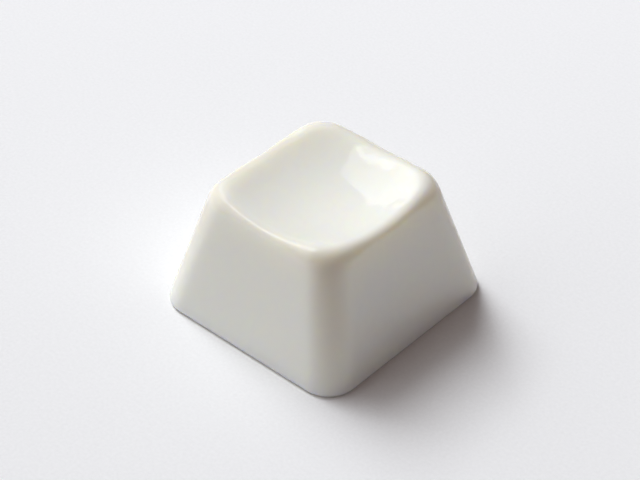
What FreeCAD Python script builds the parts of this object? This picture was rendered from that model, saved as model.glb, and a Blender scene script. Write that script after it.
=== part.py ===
import FreeCAD, Part
import math
import os
import Sketcher

# Ceramic keycap: a tapered rounded-square cap with a spherical finger dish, hollow below, with a round
# stem post whose end holds a cross-shaped socket. It is one moulded and glazed piece.
# The origin is the centre of the foot, the flat ring that the cap rests on, and +Z points to the dish.

# Driving dimensions in millimetres, except the draft in degrees.
DIMENSIONS = {
    # Outside: the base is measured between the flat sides, before its edge is rounded
    "base_width": "18.2",
    "base_depth": "18.67",
    "side_draft": "14.0",
    "corner_radius": "2.6",
    "dish_floor_height": "8.85",
    "dish_radius": "18.4",
    "rim_radius": "0.7",
    "foot_edge_radius": "0.3",
    # Hollow underside
    "wall_thickness": "1.4",
    "roof_thickness": "1.9",
    "cavity_edge_radius": "0.9",
    "mouth_chamfer": "0.3",
    # Stem and its socket
    "stem_diameter": "5.6",
    "stem_recess": "1.0",
    "stem_root_chamfer": "0.5",
    "stem_end_chamfer": "0.2",
    "socket_span": "4.1",
    "socket_slot_width": "1.35",
    "socket_depth": "4.0",
}

# The blank stands as high as the dish would reach over the corner of the base, so that the dish always
# trims the whole top.
HALF_DIAGONAL_SQUARED = "((sizes.base_width / 2)^2 + (sizes.base_depth / 2)^2)"
BLANK_HEIGHT = f"(sizes.dish_floor_height + {HALF_DIAGONAL_SQUARED} / (2 * sizes.dish_radius))"

# The wall is measured square to the drafted sides, so it is wider where the foot cuts it level.
FOOT_WIDTH = "(sizes.wall_thickness / cos(sizes.side_draft))"
CAVITY_HEIGHT = "(sizes.dish_floor_height - sizes.roof_thickness)"

HEIGHT_TOLERANCE = 1e-4
FULL_TURN = 360

doc = FreeCAD.newDocument("ceramic_keycap")

sizes = doc.addObject("Spreadsheet::Sheet", "sizes")
for row, (alias, value) in enumerate(DIMENSIONS.items(), start=1):
    sizes.set(f"A{row}", alias)
    sizes.set(f"B{row}", value)
    sizes.setAlias(f"B{row}", alias)
doc.recompute()

body = doc.addObject("PartDesign::Body", "keycap")
body.Label = "keycap"


def value_of(expression):
    """The number that an expression over the sheet gives now."""
    return float(sizes.evalExpression(expression))


def origin_plane(role):
    """One of the body's own origin planes."""
    return next(feature for feature in body.Origin.OriginFeatures if feature.Role == role)


def new_sketch(name, plane_role, height="0"):
    """An empty sketch on an origin plane, raised along the plane's normal."""
    sketch = body.newObject("Sketcher::SketchObject", name)
    sketch.AttachmentSupport = [(origin_plane(plane_role), "")]
    sketch.MapMode = "FlatFace"
    sketch.setExpression("AttachmentOffset.Base.z", height)
    return sketch


def drive(sketch, constraint, name, expression):
    """Add a dimension to the sketch and bind it to the sheet."""
    index = sketch.addConstraint(constraint)
    sketch.renameConstraint(index, name)
    sketch.setExpression(f"Constraints.{name}", expression)


def centred_rectangle(name, width, depth, height="0"):
    """A level rectangle whose middle is on the Z axis."""
    sketch = new_sketch(name, "XY_Plane", height)
    x, y = value_of(width) / 2, value_of(depth) / 2
    corners = [FreeCAD.Vector(*point, 0) for point in ((-x, -y), (x, -y), (x, y), (-x, y))]
    front, right, back, left = range(4)
    for side in (front, right, back, left):
        sketch.addGeometry(Part.LineSegment(corners[side], corners[(side + 1) % 4]))
    for side in (front, right, back, left):
        sketch.addConstraint(Sketcher.Constraint("Coincident", side, 2, (side + 1) % 4, 1))
    for side in (front, back):
        sketch.addConstraint(Sketcher.Constraint("Horizontal", side))
    for side in (right, left):
        sketch.addConstraint(Sketcher.Constraint("Vertical", side))
    origin = -1
    sketch.addConstraint(Sketcher.Constraint("Symmetric", front, 1, back, 1, origin, 1))
    drive(sketch, Sketcher.Constraint("DistanceX", front, 1, front, 2, 2 * x), "width", width)
    drive(sketch, Sketcher.Constraint("DistanceY", right, 1, right, 2, 2 * y), "depth", depth)
    return sketch


def centred_circle(name, diameter, height):
    """A level circle on the Z axis."""
    sketch = new_sketch(name, "XY_Plane", height)
    across = value_of(diameter)
    circle = sketch.addGeometry(Part.Circle(FreeCAD.Vector(), FreeCAD.Vector(0, 0, 1), across / 2))
    origin = -1
    sketch.addConstraint(Sketcher.Constraint("Coincident", circle, 3, origin, 1))
    drive(sketch, Sketcher.Constraint("Diameter", circle, across), "diameter", diameter)
    return sketch


def dish_quarter(name):
    """A quarter disc beside the Z axis that turns into the lower half of a ball."""
    sketch = new_sketch(name, "XZ_Plane")
    floor, radius = value_of("sizes.dish_floor_height"), value_of("sizes.dish_radius")
    centre = FreeCAD.Vector(0, floor + radius, 0)
    lowest = FreeCAD.Vector(0, floor, 0)
    widest = FreeCAD.Vector(radius, floor + radius, 0)
    circle = Part.Circle(centre, FreeCAD.Vector(0, 0, 1), radius)
    arc = sketch.addGeometry(Part.ArcOfCircle(circle, -math.pi / 2, 0))
    across = sketch.addGeometry(Part.LineSegment(widest, centre))
    down = sketch.addGeometry(Part.LineSegment(centre, lowest))
    origin, vertical_axis = -1, -2
    sketch.addConstraint(Sketcher.Constraint("Coincident", arc, 2, across, 1))
    sketch.addConstraint(Sketcher.Constraint("Coincident", across, 2, down, 1))
    sketch.addConstraint(Sketcher.Constraint("Coincident", down, 2, arc, 1))
    sketch.addConstraint(Sketcher.Constraint("Coincident", arc, 3, down, 1))
    sketch.addConstraint(Sketcher.Constraint("PointOnObject", down, 1, vertical_axis))
    sketch.addConstraint(Sketcher.Constraint("Vertical", down))
    sketch.addConstraint(Sketcher.Constraint("Horizontal", across))
    floor_height = Sketcher.Constraint("DistanceY", origin, 1, down, 2, floor)
    drive(sketch, floor_height, "floor", "sizes.dish_floor_height")
    drive(sketch, Sketcher.Constraint("Radius", arc, radius), "radius", "sizes.dish_radius")
    return sketch


def extrude(kind, name, outline, length, upwards=False):
    """Pad or pocket a sketch. A pocket runs down from its sketch unless it is turned upwards."""
    feature = body.newObject(kind, name)
    feature.Profile = outline
    feature.Reversed = upwards
    feature.setExpression("Length", length)
    doc.recompute()
    return feature


def pocket(name, outline, length):
    """Cut a sketch upwards into the body and make sure that it cut something."""
    solid_before = body.Shape.Volume
    feature = extrude("PartDesign::Pocket", name, outline, length, upwards=True)
    if not feature.Shape.Volume < solid_before:
        raise RuntimeError(f"{name} cuts nothing")
    return feature


def draft(name, base, faces, inside=False):
    """Lean the upright outer or inner faces towards the Z axis, hinged at the foot plane."""
    feature = body.newObject("PartDesign::Draft", name)
    feature.Base = (base, faces)
    feature.Reversed = inside
    feature.NeutralPlane = (origin_plane("XY_Plane"), [""])
    feature.setExpression("Angle", "sizes.side_draft")
    doc.recompute()
    return feature


def dress(kind, name, base, edges, size_property, size):
    """Round or chamfer the named edges of a feature."""
    feature = body.newObject(kind, name)
    feature.Base = (base, edges)
    feature.setExpression(size_property, size)
    doc.recompute()
    return feature


def face_names(feature, wanted):
    """The names of the faces of a feature for which wanted(face) is true."""
    return [f"Face{i}" for i, face in enumerate(feature.Shape.Faces, start=1) if wanted(face)]


def edge_names(feature, wanted):
    """The names of the edges of a feature for which wanted(edge) is true."""
    return [f"Edge{i}" for i, edge in enumerate(feature.Shape.Edges, start=1) if wanted(edge)]


def is_upright(face):
    """True for flat faces that have no draft yet."""
    return isinstance(face.Surface, Part.Plane) and abs(face.Surface.Axis.z) < HEIGHT_TOLERANCE


def spans(lowest, highest):
    """A test for faces or edges that reach from one height to another, given as expressions."""
    low, high = value_of(lowest), value_of(highest)

    def wanted(shape):
        box = shape.BoundBox
        return abs(box.ZMin - low) < HEIGHT_TOLERANCE and abs(box.ZMax - high) < HEIGHT_TOLERANCE
    return wanted


def among(listed):
    """A test for edges that are in the list."""
    def wanted(edge):
        return any(edge.isSame(other) for other in listed)
    return wanted


def foot_of(feature):
    """The flat ring that the cap rests on."""
    return next(face for face in feature.Shape.Faces if spans("0", "0")(face))


# Block with its hollow underside: inner and outer sides lean by the same draft, so that the walls keep
# one thickness from the foot to the roof of the cavity.
base_outline = centred_rectangle("BaseOutline", "sizes.base_width", "sizes.base_depth")
blank = extrude("PartDesign::Pad", "Blank", base_outline, BLANK_HEIGHT)
mouth_outline = centred_rectangle(
    "MouthOutline", f"sizes.base_width - 2 * {FOOT_WIDTH}", f"sizes.base_depth - 2 * {FOOT_WIDTH}"
)
cavity = pocket("Cavity", mouth_outline, CAVITY_HEIGHT)
reaches_roof = spans("0", CAVITY_HEIGHT)
on_roof = spans(CAVITY_HEIGHT, CAVITY_HEIGHT)


def is_inner_wall(face):
    return is_upright(face) and reaches_roof(face)


def is_cavity_edge(edge):
    return reaches_roof(edge) or on_roof(edge)


cavity_sides = draft("CavitySides", cavity, face_names(cavity, is_inner_wall), inside=True)
sides = draft("Sides", cavity_sides, face_names(cavity_sides, is_upright))
corners = dress(
    "PartDesign::Fillet",
    "Corners",
    sides,
    edge_names(sides, spans("0", BLANK_HEIGHT)),
    "Radius",
    "sizes.corner_radius",
)
cavity_edges = dress(
    "PartDesign::Fillet",
    "CavityEdges",
    corners,
    edge_names(corners, is_cavity_edge),
    "Radius",
    "sizes.cavity_edge_radius",
)

# Finger dish: a ball sunk into the top, which leaves four raised corners and lower rims between them.
dish_profile = dish_quarter("DishProfile")
dish = body.newObject("PartDesign::Groove", "Dish")
dish.Profile = dish_profile
dish.ReferenceAxis = (dish_profile, ["V_Axis"])
dish.Angle = FULL_TURN
doc.recompute()
ball_faces = [face for face in dish.Shape.Faces if isinstance(face.Surface, Part.Sphere)]
dish_face = max(ball_faces, key=lambda face: face.Surface.Radius)

# Soft edges: the rim all round the dish, and the foot, round outside and eased at the cavity's mouth.
rim = dress(
    "PartDesign::Fillet",
    "Rim",
    dish,
    edge_names(dish, among(dish_face.Edges)),
    "Radius",
    "sizes.rim_radius",
)
foot_edge = dress(
    "PartDesign::Fillet",
    "FootEdge",
    rim,
    edge_names(rim, among(foot_of(rim).OuterWire.Edges)),
    "Radius",
    "sizes.foot_edge_radius",
)
foot = foot_of(foot_edge)
mouth = [edge for edge in foot.Edges if not among(foot.OuterWire.Edges)(edge)]
mouth_edge = dress(
    "PartDesign::Chamfer",
    "MouthEdge",
    foot_edge,
    edge_names(foot_edge, among(mouth)),
    "Size",
    "sizes.mouth_chamfer",
)

# Stem: a round post that hangs from the roof and ends a little above the foot.
stem_outline = centred_circle("StemOutline", "sizes.stem_diameter", "sizes.stem_recess")
stem_length = f"{CAVITY_HEIGHT} + sizes.roof_thickness / 2 - sizes.stem_recess"
stem = extrude("PartDesign::Pad", "Stem", stem_outline, stem_length)


def rings_stem_root(edge):
    return on_roof(edge) and not edge.Degenerated and edge.isClosed()


stem_root = dress(
    "PartDesign::Chamfer",
    "StemRoot",
    stem,
    edge_names(stem, rings_stem_root),
    "Size",
    "sizes.stem_root_chamfer",
)

# Socket: two crossing slots that take the cross-shaped end of a key switch's slider.
across_outline = centred_rectangle(
    "AcrossOutline", "sizes.socket_span", "sizes.socket_slot_width", "sizes.stem_recess"
)
pocket("SocketAcross", across_outline, "sizes.socket_depth")
along_outline = centred_rectangle(
    "AlongOutline", "sizes.socket_slot_width", "sizes.socket_span", "sizes.stem_recess"
)
socket = pocket("SocketAlong", along_outline, "sizes.socket_depth")

# Lead-in on the end of the stem, round its outside and round the mouth of the socket.
stem_end = dress(
    "PartDesign::Chamfer",
    "StemEnd",
    socket,
    edge_names(socket, spans("sizes.stem_recess", "sizes.stem_recess")),
    "Size",
    "sizes.stem_end_chamfer",
)
body.Tip = stem_end
doc.recompute()

for item in doc.Objects:
    if "Invalid" in item.State or "Error" in item.State:
        raise RuntimeError(f"{item.Name} failed: {item.State}")
if body.Shape.isNull() or not body.Shape.isValid() or len(body.Shape.Solids) != 1:
    raise RuntimeError("the keycap is not one valid solid")

os.makedirs("parts", exist_ok=True)
body.Shape.exportStep(f"parts/{body.Label}.step")
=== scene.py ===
import math

import bmesh
import bpy
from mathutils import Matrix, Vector
from mathutils.geometry import intersect_line_sphere


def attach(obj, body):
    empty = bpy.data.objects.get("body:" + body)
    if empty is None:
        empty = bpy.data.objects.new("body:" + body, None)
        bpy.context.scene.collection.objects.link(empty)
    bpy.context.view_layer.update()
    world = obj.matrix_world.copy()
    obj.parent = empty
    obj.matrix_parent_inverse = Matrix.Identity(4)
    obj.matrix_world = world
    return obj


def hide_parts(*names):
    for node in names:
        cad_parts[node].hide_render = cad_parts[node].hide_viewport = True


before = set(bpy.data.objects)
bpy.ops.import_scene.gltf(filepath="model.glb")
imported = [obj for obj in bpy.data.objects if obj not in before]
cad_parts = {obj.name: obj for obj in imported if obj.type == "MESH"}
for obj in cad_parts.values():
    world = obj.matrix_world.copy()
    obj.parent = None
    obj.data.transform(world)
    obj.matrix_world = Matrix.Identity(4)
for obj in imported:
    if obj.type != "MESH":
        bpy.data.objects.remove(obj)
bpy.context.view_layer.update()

# Keycap: one block of porcelain, pressed in a tapered mould with the hollow underside, the stem and its
# cross-shaped socket. A ball-shaped tool sinks the finger dish, and melted glaze rounds the rim, most at
# the four raised corners.
MM = 0.001
BASE_WIDTH = 18.2 * MM
BASE_DEPTH = 18.67 * MM
BLOCK_HEIGHT = 13 * MM
DRAFT = math.radians(14)
CORNER_RADIUS = 2.6 * MM
CORNER_STEPS = 20
SIDE_CUTS = 19
LONG_EDGE = 3 * MM
TOUCH = 0.01 * MM
LEVEL_NORMAL = 0.9


def select(kind, wanted):
    """Select the faces, edges or vertices in edit mode that wanted() is true for, and nothing else."""
    bpy.ops.mesh.select_mode(type=kind)
    bpy.ops.mesh.select_all(action="DESELECT")
    mesh = bmesh.from_edit_mesh(bpy.context.object.data)
    mesh.normal_update()
    for part in {"VERT": mesh.verts, "EDGE": mesh.edges, "FACE": mesh.faces}[kind]:
        part.select_set(wanted(part))
    mesh.select_flush_mode()
    bmesh.update_edit_mesh(bpy.context.object.data)


def climbs(edge):
    """True for edges that run up a wall."""
    return abs(edge.verts[0].co.z - edge.verts[1].co.z) > MM


def is_open(edge):
    """True for edges of an open loop."""
    return edge.is_boundary


def lies_at(height):
    """A test for edges that lie level at one height."""
    return lambda edge: all(abs(vertex.co.z - height) < TOUCH for vertex in edge.verts)


def opens_at(height):
    """A test for edges of an open loop that lies level at one height."""
    return lambda edge: is_open(edge) and lies_at(height)(edge)


def drafted_walls(name, width, depth, bottom, top, corner_radius):
    """Four leaning walls with round corners, given by their size at the bottom and open at both ends."""
    bpy.ops.object.select_all(action="DESELECT")
    bpy.ops.mesh.primitive_cube_add(size=1)
    walls = bpy.context.object
    walls.name = name
    bpy.ops.object.mode_set(mode="EDIT")
    bpy.ops.transform.resize(value=(width, depth, top - bottom), center_override=(0, 0, 0))
    bpy.ops.transform.translate(value=(0, 0, (bottom + top) / 2))
    lean = 2 * (top - bottom) * math.tan(DRAFT)
    select("FACE", lambda face: face.normal.z > LEVEL_NORMAL)
    bpy.ops.transform.resize(
        value=(1 - lean / width, 1 - lean / depth, 1), center_override=(0, 0, top)
    )
    select("FACE", lambda face: abs(face.normal.z) > LEVEL_NORMAL)
    bpy.ops.mesh.delete(type="ONLY_FACE")
    corner_turn = math.acos(math.sin(DRAFT) ** 2)
    select("EDGE", climbs)
    bpy.ops.mesh.bevel(
        offset=corner_radius * math.tan(corner_turn / 2), segments=CORNER_STEPS, affect="EDGES"
    )
    select("EDGE", lambda edge: not climbs(edge) and edge.calc_length() > LONG_EDGE)
    bpy.ops.mesh.subdivide(number_cuts=SIDE_CUTS)
    return walls


keycap = drafted_walls("glazed_keycap", BASE_WIDTH, BASE_DEPTH, 0, BLOCK_HEIGHT, CORNER_RADIUS)

# The ball trims every upright line of the walls, and a rounded rim leads from each wall over to the ball.
# It reaches farther at the raised corners. An attribute tells the material where to mix in cream, which is
# partly glaze running thin and partly painted shade: over the rim and along the four upright edges.
DISH_FLOOR = 9.1 * MM
DISH_RADIUS = 18.4 * MM
RIM_STEPS = 16
WALL_REACH_SIDE, WALL_REACH_CORNER = 0.8 * MM, 1.8 * MM
DISH_REACH_SIDE, DISH_REACH_CORNER = 1.1 * MM, 1.5 * MM
CORNER_START, CORNER_END = 0.25, 0.85
UPRIGHT_START, UPRIGHT_END = 0.62, 0.86
# Strengths of the cream: partly thin glaze, partly painted shade on the rim's shoulder and the upright
# edges.
RIM_CREAM_AND_SHADE, EDGE_CREAM_AND_SHADE_TOP, EDGE_CREAM_AND_SHADE_FOOT = 0.5, 0.75, 0.15
DEEPEST_CREAM_START, DEEPEST_CREAM_END = 0.3, 0.45
ball_centre = Vector((0, 0, DISH_FLOOR + DISH_RADIUS))


def on_ball(x, y):
    """The point of the dish above a place in plan."""
    return Vector((x, y, ball_centre.z - math.sqrt(DISH_RADIUS ** 2 - x * x - y * y)))


def soft_step(value, start, end):
    """A smooth rise from 0 at start to 1 at end."""
    share = min(max((value - start) / (end - start), 0), 1)
    return share * share * (3 - 2 * share)


def between(side, corner_value, share):
    """A size that changes from its value at a side's middle to its value at a corner."""
    return side + (corner_value - side) * share


def around(vertices):
    """Vertices of a loop in order of their direction from the middle, from just below the X axis."""
    just_below = 1e-4
    return sorted(vertices, key=lambda v: (math.atan2(v.co.y, v.co.x) + just_below) % math.tau)


mesh = bmesh.from_edit_mesh(keycap.data)
thin_glaze_and_shade = mesh.verts.layers.float.new("thin_glaze_and_shade")
mesh.normal_update()
feet = {}
for edge in [edge for edge in mesh.edges if climbs(edge)]:
    low, high = sorted(edge.verts, key=lambda vertex: vertex.co.z)
    high.co = next(filter(None, intersect_line_sphere(low.co, high.co, ball_centre, DISH_RADIUS)))
    feet[high] = low
half_width = max(vertex.co.x for vertex in feet)
half_depth = max(vertex.co.y for vertex in feet)
rim_curves = []
for vertex in around(feet):
    edge_point = vertex.co.copy()
    down = (feet[vertex].co - edge_point).normalized()
    inward = -vertex.normal.xy.normalized()
    corner_share = min(abs(edge_point.x) / half_width, abs(edge_point.y) / half_depth)
    corner = soft_step(corner_share, CORNER_START, CORNER_END)
    upright = soft_step(corner_share, UPRIGHT_START, UPRIGHT_END)
    wall_end = edge_point + down * between(WALL_REACH_SIDE, WALL_REACH_CORNER, corner)
    dish_reach = between(DISH_REACH_SIDE, DISH_REACH_CORNER, corner)
    dish_end = on_ball(*(edge_point.xy + inward * dish_reach))
    arm = dish_end - ball_centre
    lowering = (DISH_RADIUS ** 2 - (edge_point - ball_centre).dot(arm)) / down.dot(arm)
    bend = edge_point + down * lowering
    rim_curves.append((wall_end, bend, dish_end, upright))
    # Cream at the foot of each upright edge: partly thin glaze, partly painted shade.
    feet[vertex][thin_glaze_and_shade] = EDGE_CREAM_AND_SHADE_FOOT * upright
bmesh.update_edit_mesh(keycap.data)

select("EDGE", lambda edge: is_open(edge) and edge.verts[0].co.z > MM)
for step in range(RIM_STEPS + 1):
    if step > 0:
        bpy.ops.mesh.extrude_edges_move()
    mesh = bmesh.from_edit_mesh(keycap.data)
    thin_glaze_and_shade = mesh.verts.layers.float["thin_glaze_and_shade"]
    turn = step / RIM_STEPS
    shoulder = soft_step(turn, 0, DEEPEST_CREAM_START) * (1 - soft_step(turn, DEEPEST_CREAM_END, 1))
    loop = around(vertex for vertex in mesh.verts if vertex.select)
    for vertex, (wall_end, bend, dish_end, upright) in zip(loop, rim_curves):
        vertex.co = wall_end.lerp(bend, turn).lerp(bend.lerp(dish_end, turn), turn)
        # Cream on the rim's shoulder and down the upright edges: partly thin glaze, partly painted shade.
        vertex[thin_glaze_and_shade] = max(RIM_CREAM_AND_SHADE * shoulder, EDGE_CREAM_AND_SHADE_TOP * upright * (1 - turn))
    bmesh.update_edit_mesh(keycap.data)

# The rest of the dish is rings that shrink towards its middle and lie on the ball.
DISH_RINGS = 12
for ring in range(DISH_RINGS):
    bpy.ops.mesh.extrude_edges_move()
    shrink = (DISH_RINGS - ring - 0.5) / (DISH_RINGS - ring + 0.5)
    mesh = bmesh.from_edit_mesh(keycap.data)
    thin_glaze_and_shade = mesh.verts.layers.float["thin_glaze_and_shade"]
    for vertex in mesh.verts:
        if vertex.select:
            vertex.co = on_ball(*(vertex.co.xy * shrink))
            vertex[thin_glaze_and_shade] = 0
    bmesh.update_edit_mesh(keycap.data)
bpy.ops.mesh.merge(type="CENTER")
bpy.ops.object.mode_set(mode="OBJECT")

# Underside: the cavity's walls lean as the outer ones do, its mouth is eased and its roof edge is round.
WALL = 1.4 * MM
CAVITY_HEIGHT = 6.95 * MM
CAVITY_EDGE_RADIUS = 0.9 * MM
CAVITY_EDGE_STEPS = 8
MOUTH_CHAMFER = 0.3 * MM
ROOF_TURN = math.pi / 2 - DRAFT
ROOF_OPENING = 0.7
mouth_inset = 2 * WALL / math.cos(DRAFT)
core_inset = mouth_inset + 2 * MOUTH_CHAMFER * math.tan(DRAFT)
core_width, core_depth = BASE_WIDTH - core_inset, BASE_DEPTH - core_inset
core = drafted_walls(
    "core", core_width, core_depth, MOUTH_CHAMFER, CAVITY_HEIGHT, CAVITY_EDGE_RADIUS
)
select("EDGE", opens_at(MOUTH_CHAMFER))
bpy.ops.mesh.extrude_edges_move()
mouth_width = BASE_WIDTH - mouth_inset + 2 * MOUTH_CHAMFER
mouth_depth = BASE_DEPTH - mouth_inset + 2 * MOUTH_CHAMFER
bpy.ops.transform.resize(
    value=(mouth_width / core_width, mouth_depth / core_depth, 1), center_override=(0, 0, 0)
)
bpy.ops.transform.translate(value=(0, 0, -MOUTH_CHAMFER))


def is_roof_edge(edge):
    """True for edges where the cavity's walls turn into its roof."""
    return (
        lies_at(CAVITY_HEIGHT)(edge)
        and not is_open(edge)
        and edge.calc_face_angle() > ROOF_TURN / 2
    )


select("EDGE", opens_at(CAVITY_HEIGHT))
bpy.ops.mesh.extrude_edges_move()
bpy.ops.transform.resize(value=(ROOF_OPENING, ROOF_OPENING, 1), center_override=(0, 0, 0))
select("EDGE", is_roof_edge)
bpy.ops.mesh.bevel(
    offset=CAVITY_EDGE_RADIUS * math.tan(ROOF_TURN / 2), segments=CAVITY_EDGE_STEPS, affect="EDGES"
)

# Stem: a round post that hangs from the roof by a wider root. The socket, a cross, is sunk into its end.
STEM_RADIUS = 2.8 * MM
STEM_END = 1.0 * MM
STEM_ROOT = 0.5 * MM
STEM_CHAMFER = 0.2 * MM
SOCKET_SPAN = 4.1 * MM
SOCKET_SLOT = 1.35 * MM
SOCKET_TOP = 5.0 * MM
LOOP = 4 * (CORNER_STEPS + SIDE_CUTS + 1)
EIGHTH_TURN = math.pi / 4
ARM_END_SHARE = 0.4
arm_corner = math.atan2(SOCKET_SLOT, SOCKET_SPAN)


def direction(place):
    """The angle of one of a loop's evenly counted places, with places on the corners of the socket."""
    turns, share = divmod(8 * place / LOOP, 1)
    mirrored = turns % 2 == 1
    share = 1 - share if mirrored else share
    if share < ARM_END_SHARE:
        angle = arm_corner * share / ARM_END_SHARE
    else:
        past_arm = (share - ARM_END_SHARE) / (1 - ARM_END_SHARE)
        angle = arm_corner + (EIGHTH_TURN - arm_corner) * past_arm
    return EIGHTH_TURN * (turns + 1) - angle if mirrored else EIGHTH_TURN * turns + angle


def circle(radius):
    """The distance of a circle from its middle, for any angle."""
    return lambda angle: radius


def cross(ease):
    """The distance of the socket's outline from its middle for an angle, widened by ease on every side."""
    def reach(angle):
        near, far = sorted((abs(math.cos(angle)), abs(math.sin(angle))))
        return min((SOCKET_SPAN / 2 + ease) / far, (SOCKET_SLOT / 2 + ease) / max(near, 1e-9))
    return reach


select("EDGE", opens_at(CAVITY_HEIGHT))
for outline, height in (
    (circle(STEM_RADIUS + STEM_ROOT), CAVITY_HEIGHT),
    (circle(STEM_RADIUS), CAVITY_HEIGHT - STEM_ROOT),
    (circle(STEM_RADIUS), STEM_END + STEM_CHAMFER),
    (circle(STEM_RADIUS - STEM_CHAMFER), STEM_END),
    (cross(STEM_CHAMFER), STEM_END),
    (cross(0), STEM_END + STEM_CHAMFER),
    (cross(0), SOCKET_TOP),
):
    bpy.ops.mesh.extrude_edges_move()
    mesh = bmesh.from_edit_mesh(core.data)
    for place, vertex in enumerate(around(vertex for vertex in mesh.verts if vertex.select)):
        angle = direction(place)
        reach = outline(angle)
        vertex.co = (reach * math.cos(angle), reach * math.sin(angle), height)
    bmesh.update_edit_mesh(core.data)
bpy.ops.mesh.extrude_edges_move()
bpy.ops.mesh.merge(type="CENTER")
bpy.ops.object.mode_set(mode="OBJECT")

# Shell and underside meet in the foot, the flat ring that the cap stands on. Their loops are held apart
# while they are bridged, so that each edge is joined to the one across the ring.
FOOT_EDGE_RADIUS = 0.32 * MM
FOOT_EDGE_STEPS = 6
FOOT_TURN = math.pi / 2 + DRAFT
WALL_CUTS = 14


def is_outer_loop(edge):
    """True for the open edges of the outer walls, which lie outside the cavity's mouth."""
    return is_open(edge) and any(
        abs(vertex.co.x) > mouth_width / 2 + TOUCH or abs(vertex.co.y) > mouth_depth / 2 + TOUCH
        for vertex in edge.verts
    )


def is_foot_edge(edge):
    """True for the outer edge of the foot, where the surface turns by more than a right angle."""
    return lies_at(0)(edge) and edge.calc_face_angle() > math.pi / 2


core.select_set(True)
keycap.select_set(True)
bpy.context.view_layer.objects.active = keycap
bpy.ops.object.join()
bpy.ops.object.mode_set(mode="EDIT")
select("EDGE", is_outer_loop)
bpy.ops.transform.translate(value=(0, 0, -WALL))
select("EDGE", is_open)
bpy.ops.mesh.bridge_edge_loops()
select("EDGE", lies_at(-WALL))
bpy.ops.transform.translate(value=(0, 0, WALL))
bpy.ops.mesh.select_all(action="SELECT")
bpy.ops.mesh.normals_make_consistent(inside=False)
select("EDGE", is_foot_edge)
bpy.ops.mesh.bevel(
    offset=FOOT_EDGE_RADIUS * math.tan(FOOT_TURN / 2), segments=FOOT_EDGE_STEPS, affect="EDGES"
)
select("EDGE", lambda edge: edge.calc_length() > LONG_EDGE)
bpy.ops.mesh.subdivide(number_cuts=WALL_CUTS)
bpy.ops.object.mode_set(mode="OBJECT")

# The glaze leaves no sharp edge: a fine bevel eases those that are left on the underside.
FINE_EDGE = 0.08 * MM
bpy.ops.object.modifier_add(type="BEVEL")
fine_bevel = keycap.modifiers[-1]
fine_bevel.limit_method = "ANGLE"
fine_bevel.angle_limit = math.radians(35)
fine_bevel.width = FINE_EDGE
fine_bevel.segments = 3
bpy.ops.object.modifier_apply(modifier=fine_bevel.name)
bpy.ops.object.shade_smooth()


def linear(hex_colour):
    """An sRGB hex colour as linear RGBA."""
    channels = [int(hex_colour[i:i + 2], 16) / 255 for i in (1, 3, 5)]
    steps = [c / 12.92 if c <= 0.04045 else ((c + 0.055) / 1.055) ** 2.4 for c in channels]
    return (*steps, 1)


def node(tree, kind, settings=(), links=()):
    """Add a node, set its properties or input sockets by name, and link its inputs from other sockets."""
    new = tree.nodes.new(kind)
    for name, value in dict(settings).items():
        if name in new.inputs:
            new.inputs[name].default_value = value
        else:
            setattr(new, name, value)
    for name, source in dict(links).items():
        tree.links.new(source, new.inputs[name])
    return new


# Glazed porcelain: a white body under a clear gloss glaze. Light spreads in the body and softens its shade,
# the glaze gives sharp, slightly wavy reflections, and a cream over the edges is partly thin glaze, partly
# painted shade.
WHITE, CLOUD_WHITE, CREAM_AND_SHADE = "#F3F3E9", "#F5F5EC", "#DFD8CB"
LIGHT_SPREAD = 1.4 * MM
LIGHT_SPREAD_BY_COLOUR = (1, 0.88, 0.55)
CLOUD = 6 * MM
GLAZE_SMOOTHEST, GLAZE_ROUGHEST = 0.01, 0.03
GLAZE_WAVE = 1.6 * MM
GLAZE_WAVE_HEIGHT = 0.045 * MM
porcelain = bpy.data.materials.new("glazed_porcelain")
porcelain.use_nodes = True
tree = porcelain.node_tree
shader = tree.nodes["Principled BSDF"]
shader.subsurface_method = "RANDOM_WALK"
shader.inputs["Subsurface Weight"].default_value = 1
shader.inputs["Subsurface Radius"].default_value = LIGHT_SPREAD_BY_COLOUR
shader.inputs["Subsurface Scale"].default_value = LIGHT_SPREAD
shader.inputs["IOR"].default_value = 1.5
position = node(tree, "ShaderNodeTexCoord").outputs["Object"]
clouds = node(tree, "ShaderNodeTexNoise", {"Scale": 1 / CLOUD}, {"Vector": position}).outputs["Fac"]
white = node(
    tree,
    "ShaderNodeMixRGB",
    {"Color1": linear(WHITE), "Color2": linear(CLOUD_WHITE)},
    {"Fac": clouds},
)
# The cream mix is partly thin glaze and partly painted shade on the rim's shoulder and the upright edges.
cream_and_shade = node(tree, "ShaderNodeAttribute", {"attribute_name": "thin_glaze_and_shade"})
colour = node(
    tree,
    "ShaderNodeMixRGB",
    {"Color2": linear(CREAM_AND_SHADE)},
    {"Fac": cream_and_shade.outputs["Fac"], "Color1": white.outputs["Color"]},
)
tree.links.new(colour.outputs["Color"], shader.inputs["Base Color"])
gloss = node(
    tree,
    "ShaderNodeMapRange",
    {"To Min": GLAZE_SMOOTHEST, "To Max": GLAZE_ROUGHEST},
    {"Value": clouds},
)
tree.links.new(gloss.outputs["Result"], shader.inputs["Roughness"])
waves = node(
    tree, "ShaderNodeTexNoise", {"Scale": 1 / GLAZE_WAVE, "Detail": 1}, {"Vector": position}
)
ripple = node(
    tree, "ShaderNodeBump", {"Distance": GLAZE_WAVE_HEIGHT}, {"Height": waves.outputs["Fac"]}
)
tree.links.new(ripple.outputs["Normal"], shader.inputs["Normal"])
keycap.data.materials.clear()
keycap.data.materials.append(porcelain)
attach(keycap, "root")
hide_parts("keycap")

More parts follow.
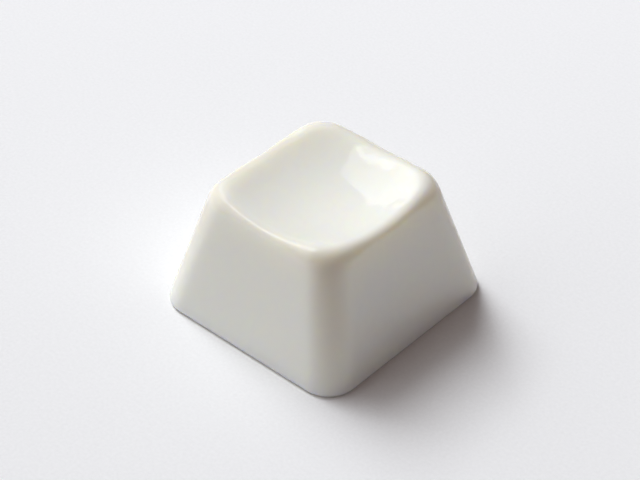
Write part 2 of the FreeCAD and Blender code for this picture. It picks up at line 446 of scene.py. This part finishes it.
# Floor: a large sheet of matt white paper that the cap stands on. It is plain but for its fine grain, a mix
# of two whites.
FLOOR_SIZE = 2
PAPER_GRAIN = 0.25 * MM
FIBRE_SHADE, FIBRE_WHITE = "#ECECEC", "#F8F8F8"
bpy.ops.object.select_all(action="DESELECT")
bpy.ops.mesh.primitive_plane_add(size=FLOOR_SIZE)
floor = bpy.context.object
floor.name = "paper_floor"
paper = bpy.data.materials.new("matt_paper")
paper.use_nodes = True
paper_tree = paper.node_tree
paper_shader = paper_tree.nodes["Principled BSDF"]
fibres = node(
    paper_tree,
    "ShaderNodeTexNoise",
    {"Scale": 1 / PAPER_GRAIN, "Detail": 3},
    {"Vector": node(paper_tree, "ShaderNodeTexCoord").outputs["Object"]},
)
sheet_white = node(
    paper_tree,
    "ShaderNodeMixRGB",
    {"Color1": linear(FIBRE_SHADE), "Color2": linear(FIBRE_WHITE)},
    {"Fac": fibres.outputs["Fac"]},
)
paper_tree.links.new(sheet_white.outputs["Color"], paper_shader.inputs["Base Color"])
paper_shader.inputs["Roughness"].default_value = 0.9
paper_shader.inputs["Specular IOR Level"].default_value = 0.2
floor.data.materials.append(paper)

# Light: a tall window behind the cap's left side, with a thin curtain, in a dim, warm room. Most lamps
# either shade the cap or show in its glaze, and no two of them share a plane.
WINDOW_AZIMUTH = 203
DAYLIGHT = (0.93, 0.965, 1)
WARM_WHITE = (1, 0.8, 0.55)
DIM_ROOM = (0.15, 0.121, 0.117, 1)
scene = bpy.context.scene
scene.view_settings.view_transform = "Standard"


def upright_lamp(name, shape, azimuth, distance, near, far, bottom, top, radiance, colour):
    """A flat lamp that stands upright and faces the cap, given by its edges in metres and radiance."""
    azimuth = math.radians(azimuth)
    out = Vector((math.cos(azimuth), math.sin(azimuth), 0))
    along = Vector((math.sin(azimuth), -math.cos(azimuth), 0))
    middle = out * distance + along * (near + far) / 2
    middle.z = (bottom + top) / 2
    bpy.ops.object.light_add(
        type="AREA", location=middle, rotation=(math.pi / 2, 0, azimuth + math.pi / 2)
    )
    lamp = bpy.context.object
    lamp.name = name
    lamp.data.shape = shape
    lamp.data.size = far - near
    lamp.data.size_y = top - bottom
    area = lamp.data.size * lamp.data.size_y * (math.pi / 4 if shape == "ELLIPSE" else 1)
    lamp.data.energy = radiance * math.pi * area
    lamp.data.color = colour
    return lamp


sky = upright_lamp(
    "bright_sky", "RECTANGLE", azimuth=WINDOW_AZIMUTH, distance=0.4,
    near=0.13, far=0.48, bottom=0.36, top=1.0, radiance=14.1, colour=DAYLIGHT,
)
sky.visible_glossy = False
curtain = upright_lamp(
    "curtain", "ELLIPSE", azimuth=WINDOW_AZIMUTH, distance=0.44,
    near=-0.08, far=0.76, bottom=0.14, top=1.57, radiance=1.55, colour=DAYLIGHT,
)
curtain.visible_glossy = False
upright_lamp(
    "pale_wall", "RECTANGLE", azimuth=230, distance=0.4,
    near=-0.23, far=0.23, bottom=0.04, top=0.69, radiance=0.75, colour=DAYLIGHT,
)
pane = upright_lamp(
    "window_pane", "RECTANGLE", azimuth=WINDOW_AZIMUTH, distance=0.5,
    near=0.08, far=0.85, bottom=0.45, top=1.6, radiance=1.45, colour=DAYLIGHT,
)
pane.rotation_euler.rotate_axis("Z", math.radians(8))
pane.visible_diffuse = False
gap = upright_lamp(
    "curtain_gap", "RECTANGLE", azimuth=WINDOW_AZIMUTH, distance=0.52,
    near=0.09, far=0.5, bottom=0.75, top=1.6, radiance=2.2, colour=DAYLIGHT,
)
gap.visible_diffuse = False
warm_wall = upright_lamp(
    "warm_wall", "RECTANGLE", azimuth=45, distance=0.5,
    near=-0.4, far=0.4, bottom=0.0, top=0.35, radiance=0.8, colour=WARM_WHITE,
)
warm_wall.visible_diffuse = False

world = bpy.data.worlds.new("warm_room")
scene.world = world
world.use_nodes = True
world.node_tree.nodes["Background"].inputs["Color"].default_value = DIM_ROOM

# Camera: a long lens close by, above the corner between two sides, as in the photo. It aims beside the
# cap's middle by a little to the left and up.
VIEW_AZIMUTH = math.radians(41.911)
VIEW_ELEVATION = math.radians(39.688)
VIEW_DISTANCE = 158.405 * MM
FOCAL_PIXELS = 2090
IMAGE_WIDTH = 640
AIM_RIGHT, AIM_UP, AIM_HEIGHT = -0.304 * MM, 0.85 * MM, 4.0 * MM
bpy.ops.object.camera_add(rotation=(math.pi / 2 - VIEW_ELEVATION, 0, VIEW_AZIMUTH))
camera = bpy.context.object
camera.data.lens = camera.data.sensor_width * FOCAL_PIXELS / IMAGE_WIDTH
camera.data.clip_start = MM
bpy.context.view_layer.update()
right, up, back = camera.matrix_world.to_3x3().transposed()
camera.location = right * AIM_RIGHT + up * AIM_UP + back * VIEW_DISTANCE
camera.location.z += AIM_HEIGHT
scene.camera = camera
